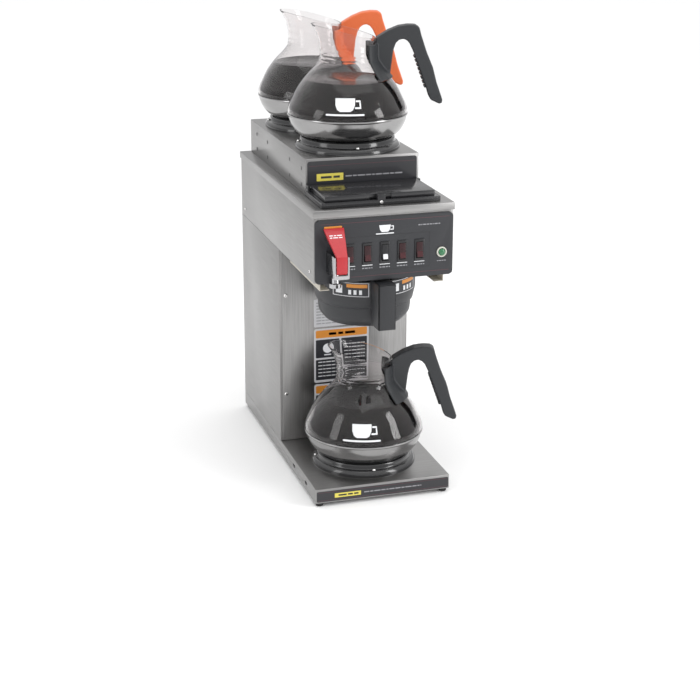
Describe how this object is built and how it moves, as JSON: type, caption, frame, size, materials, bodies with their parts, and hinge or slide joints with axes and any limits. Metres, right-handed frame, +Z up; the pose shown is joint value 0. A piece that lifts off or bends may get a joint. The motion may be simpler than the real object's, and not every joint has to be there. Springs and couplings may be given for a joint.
{
  "type": "commercial coffee brewer",
  "caption": "Narrow stainless coffee brewer with a pull-out brew funnel, hot-water faucet, rocker switches, lidded pour-in basin, heated plates and decanters.",
  "frame": {"origin": "middle of the bounding box's footprint, on the surface that the feet stand on; the brewer's own mid-plane is at x = -0.0176, because the decanter handles reach out on the right", "axes": "+Z up, -Y towards the person who uses it, +X to the right as seen from the front"},
  "size_m": [0.2548, 0.5236, 0.7081],
  "materials": {
    "stainless": "brushed stainless sheet",
    "dark_steel": "heat-darkened steel sheath",
    "black_plastic": "fine-grained moulded plastic",
    "black_enamel": "glossy black enamel",
    "red_plastic": "glossy moulded plastic",
    "dark_red_plastic": "translucent lamp plastic, dark when viewed unlit",
    "orange_plastic": "fine-grained moulded plastic",
    "beige_plastic": "moulded nylon",
    "white_plastic": "moulded nylon",
    "rubber": "matt rubber",
    "brass": "machined brass",
    "clear_plastic": "clear moulded plastic",
    "circuit_board": "lacquered board"
  },
  "bodies": {
    "brewer": {"base_tray": "stainless", "trunk_shell": "stainless", "trunk_access_panel": "stainless", "rear_panel": "stainless", "head_housing": "stainless", "top_cover": "stainless", "upper_deck": "stainless", "faucet_body": "stainless", "faucet_guard": "stainless", "faucet_pin": "stainless", "sprayhead": "stainless", "lid_hinge_pin": "stainless", "water_tank": "stainless", "tank_lid": "stainless", "lower_warmer_ring": "black_enamel", "lower_warmer_plate": "black_enamel", "lower_warmer_element": "dark_steel", "front_warmer_ring": "black_enamel", "front_warmer_plate": "black_enamel", "front_warmer_element": "dark_steel", "rear_warmer_ring": "black_enamel", "rear_warmer_plate": "black_enamel", "rear_warmer_element": "dark_steel", "lower_warmer_switch_body": "black_plastic", "power_switch_body": "black_plastic", "start_switch_body": "black_plastic", "front_warmer_switch_body": "black_plastic", "rear_warmer_switch_body": "black_plastic", "foot_front_left": "rubber", "foot_front_right": "rubber", "foot_rear_left": "rubber", "foot_rear_right": "rubber", "control_panel": "black_plastic", "cord_gland": "black_plastic", "basin_tray": "black_plastic", "funnel_rail_left": "beige_plastic", "funnel_rail_right": "beige_plastic", "ready_lamp": "white_plastic", "spray_tube": "white_plastic", "inlet_fitting": "brass", "fill_valve": "brass", "tank_heater": "dark_steel", "control_board": "circuit_board"},
    "lever": {"faucet_lever": "red_plastic"},
    "funnel": {"funnel": "black_plastic"},
    "lid": {"basin_lid": "black_plastic"},
    "lower_warmer_rocker": {"lower_warmer_rocker": "dark_red_plastic"},
    "power_rocker": {"power_rocker": "dark_red_plastic"},
    "start_rocker": {"start_rocker": "black_plastic"},
    "front_warmer_rocker": {"front_warmer_rocker": "dark_red_plastic"},
    "rear_warmer_rocker": {"rear_warmer_rocker": "dark_red_plastic"},
    "lower_decanter": {"lower_decanter_bowl": "stainless", "lower_decanter_body": "clear_plastic", "lower_decanter_handle": "black_plastic"},
    "front_decanter": {"front_decanter_bowl": "stainless", "front_decanter_body": "clear_plastic", "front_decanter_handle": "black_plastic"},
    "rear_decanter": {"rear_decanter_bowl": "stainless", "rear_decanter_body": "clear_plastic", "rear_decanter_handle": "orange_plastic"}
  },
  "joints": [
    {"name": "faucet_lever_pull", "type": "hinge", "parent": "brewer", "child": "lever", "pos_m": [-0.0968, -0.25, 0.396], "axis": [1, 0, 0], "range_deg": [0, 15], "stiffness_Nm_per_rad": 0.15, "springref_deg": -17.19},
    {"name": "funnel_slide", "type": "slide", "parent": "brewer", "child": "funnel", "axis": [0, -1, 0], "range_m": [0, 0.2]},
    {"name": "lid_hinge", "type": "hinge", "parent": "brewer", "child": "lid", "pos_m": [-0.0176, -0.1107, 0.4748], "axis": [-1, 0, 0], "range_deg": [0, 80]},
    {"name": "lower_warmer_rocker_tilt", "type": "hinge", "parent": "brewer", "child": "lower_warmer_rocker", "pos_m": [-0.0716, -0.213, 0.395], "axis": [1, 0, 0], "range_deg": [0, 14]},
    {"name": "power_rocker_tilt", "type": "hinge", "parent": "brewer", "child": "power_rocker", "pos_m": [-0.0446, -0.213, 0.395], "axis": [1, 0, 0], "range_deg": [0, 14]},
    {"name": "start_rocker_tilt", "type": "hinge", "parent": "brewer", "child": "start_rocker", "pos_m": [-0.0176, -0.213, 0.395], "axis": [1, 0, 0], "range_deg": [0, 14], "stiffness_Nm_per_rad": 0.02, "springref_deg": -17.19},
    {"name": "front_warmer_rocker_tilt", "type": "hinge", "parent": "brewer", "child": "front_warmer_rocker", "pos_m": [0.0094, -0.213, 0.395], "axis": [1, 0, 0], "range_deg": [0, 14]},
    {"name": "rear_warmer_rocker_tilt", "type": "hinge", "parent": "brewer", "child": "rear_warmer_rocker", "pos_m": [0.0364, -0.213, 0.395], "axis": [1, 0, 0], "range_deg": [0, 14]},
    {"name": "lower_decanter_lift_out", "type": "slide", "parent": "brewer", "child": "lower_decanter", "axis": [0, -1, 0], "range_m": [0, 0.21]},
    {"name": "front_decanter_lift", "type": "slide", "parent": "brewer", "child": "front_decanter", "axis": [0, 0, 1], "range_m": [0, 0.19]},
    {"name": "rear_decanter_lift", "type": "slide", "parent": "brewer", "child": "rear_decanter", "axis": [0, 0, 1], "range_m": [0, 0.19]}
  ]
}
